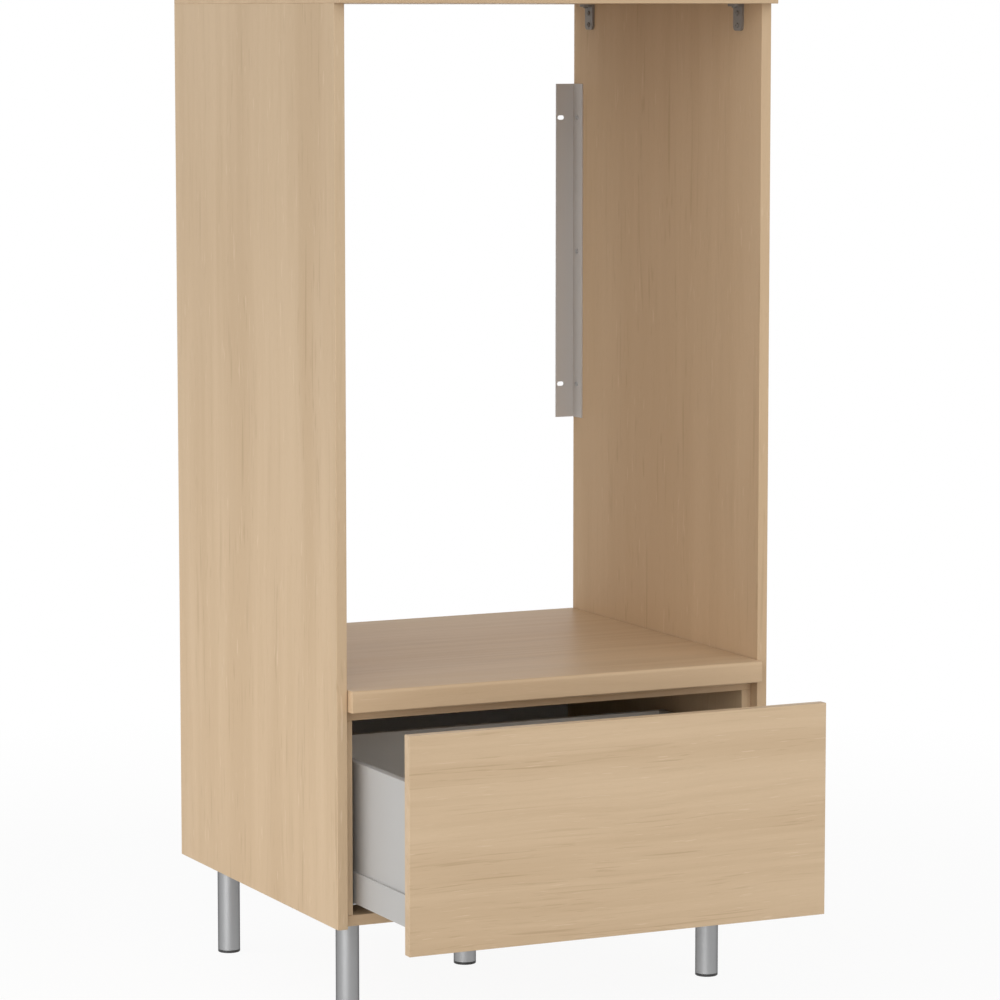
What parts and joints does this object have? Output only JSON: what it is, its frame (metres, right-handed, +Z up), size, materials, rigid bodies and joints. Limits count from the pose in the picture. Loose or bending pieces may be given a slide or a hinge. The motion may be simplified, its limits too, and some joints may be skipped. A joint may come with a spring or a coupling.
{
  "type": "washing machine cabinet",
  "caption": "Tall open washing machine housing in pale wood-effect board on round metal legs: a thick machine shelf over one wide slab-front drawer on telescopic runners.",
  "frame": {"origin": "on the floor under the centre leg, which stands midway between the front and rear leg rows on the cabinet's left-right symmetry plane", "axes": "+Z up; the open front and the drawer face -Y; +X to the right of someone facing the front"},
  "size_m": [0.702, 0.831, 1.489],
  "materials": {
    "oak_laminate": "matt laminate with a pale oak grain",
    "drawer_grey": "fine satin grey powder coat",
    "drawer_board": "light grey melamine-faced board",
    "back_board": "white melamine-faced board",
    "zinc_steel": "galvanised sheet",
    "zinc_screw": "bright zinc plate",
    "dark_screw": "blackened steel",
    "back_grey": "fine pale grey powder coat",
    "bracket_grey": "warm grey powder coat",
    "dark_fitting": "dark grey moulding",
    "leg_metal": "satin steel tube",
    "foot_metal": "blackened steel"
  },
  "bodies": {
    "cabinet": {"carcass_bottom": "oak_laminate", "carcass_left_side": "oak_laminate", "carcass_right_side": "oak_laminate", "carcass_top": "oak_laminate", "left_side_panel": "oak_laminate", "machine_shelf": "oak_laminate", "right_side_panel": "oak_laminate", "top_panel": "oak_laminate", "left_cabinet_rail": "zinc_steel", "left_wall_bracket": "bracket_grey", "front_left_corner_bracket": "dark_fitting", "rear_left_corner_bracket": "dark_fitting", "right_cabinet_rail": "zinc_steel", "right_wall_bracket": "bracket_grey", "front_right_corner_bracket": "dark_fitting", "rear_right_corner_bracket": "dark_fitting", "carcass_back": "back_board", "front_left_leg_plate": "dark_fitting", "front_left_leg_tube": "leg_metal", "front_right_leg_plate": "dark_fitting", "front_right_leg_tube": "leg_metal", "rear_left_leg_plate": "dark_fitting", "rear_left_leg_tube": "leg_metal", "rear_right_leg_plate": "dark_fitting", "rear_right_leg_tube": "leg_metal", "centre_leg_plate": "dark_fitting", "centre_leg_tube": "leg_metal", "carcass_joint_screws": "zinc_screw", "side_panel_screws": "zinc_screw", "shelf_screws": "zinc_screw", "runner_screws": "zinc_screw", "wall_bracket_screws": "zinc_screw", "corner_bracket_screws": "dark_screw", "leg_plate_screws": "zinc_screw"},
    "drawer": {"drawer_front": "oak_laminate", "drawer_left_wall": "drawer_grey", "drawer_left_base_profile": "drawer_grey", "drawer_left_front_bracket": "zinc_steel", "left_drawer_rail": "zinc_steel", "drawer_right_wall": "drawer_grey", "drawer_right_base_profile": "drawer_grey", "drawer_right_front_bracket": "zinc_steel", "right_drawer_rail": "zinc_steel", "drawer_back": "back_grey", "drawer_bottom": "drawer_board", "drawer_front_screws": "zinc_screw", "drawer_back_screws": "zinc_screw", "drawer_bottom_screws": "zinc_screw", "drawer_rail_rivets": "zinc_screw"},
    "left_runner_middle": {"left_middle_rail": "zinc_steel"},
    "right_runner_middle": {"right_middle_rail": "zinc_steel"},
    "front_left_foot": {"front_left_levelling_foot": "foot_metal"},
    "front_right_foot": {"front_right_levelling_foot": "foot_metal"},
    "rear_left_foot": {"rear_left_levelling_foot": "foot_metal"},
    "rear_right_foot": {"rear_right_levelling_foot": "foot_metal"},
    "centre_foot": {"centre_levelling_foot": "foot_metal"}
  },
  "joints": [
    {"name": "drawer_slide", "type": "slide", "parent": "cabinet", "child": "drawer", "axis": [0, -1, 0], "range_m": [-0.211, 0.219]},
    {"name": "left_runner_slide", "type": "slide", "parent": "cabinet", "child": "left_runner_middle", "axis": [0, -1, 0], "range_m": [-0.1055, 0.1095]},
    {"name": "right_runner_slide", "type": "slide", "parent": "cabinet", "child": "right_runner_middle", "axis": [0, -1, 0], "range_m": [-0.1055, 0.1095]},
    {"name": "front_left_foot_adjust", "type": "slide", "parent": "cabinet", "child": "front_left_foot", "axis": [0, 0, -1], "range_m": [0, 0.012]},
    {"name": "front_right_foot_adjust", "type": "slide", "parent": "cabinet", "child": "front_right_foot", "axis": [0, 0, -1], "range_m": [0, 0.012]},
    {"name": "rear_left_foot_adjust", "type": "slide", "parent": "cabinet", "child": "rear_left_foot", "axis": [0, 0, -1], "range_m": [0, 0.012]},
    {"name": "rear_right_foot_adjust", "type": "slide", "parent": "cabinet", "child": "rear_right_foot", "axis": [0, 0, -1], "range_m": [0, 0.012]},
    {"name": "centre_foot_adjust", "type": "slide", "parent": "cabinet", "child": "centre_foot", "axis": [0, 0, -1], "range_m": [0, 0.012]}
  ],
  "couplings": [
    {"joint": "left_runner_slide", "follows": "drawer_slide", "ratio": 0.5},
    {"joint": "right_runner_slide", "follows": "drawer_slide", "ratio": 0.5}
  ]
}
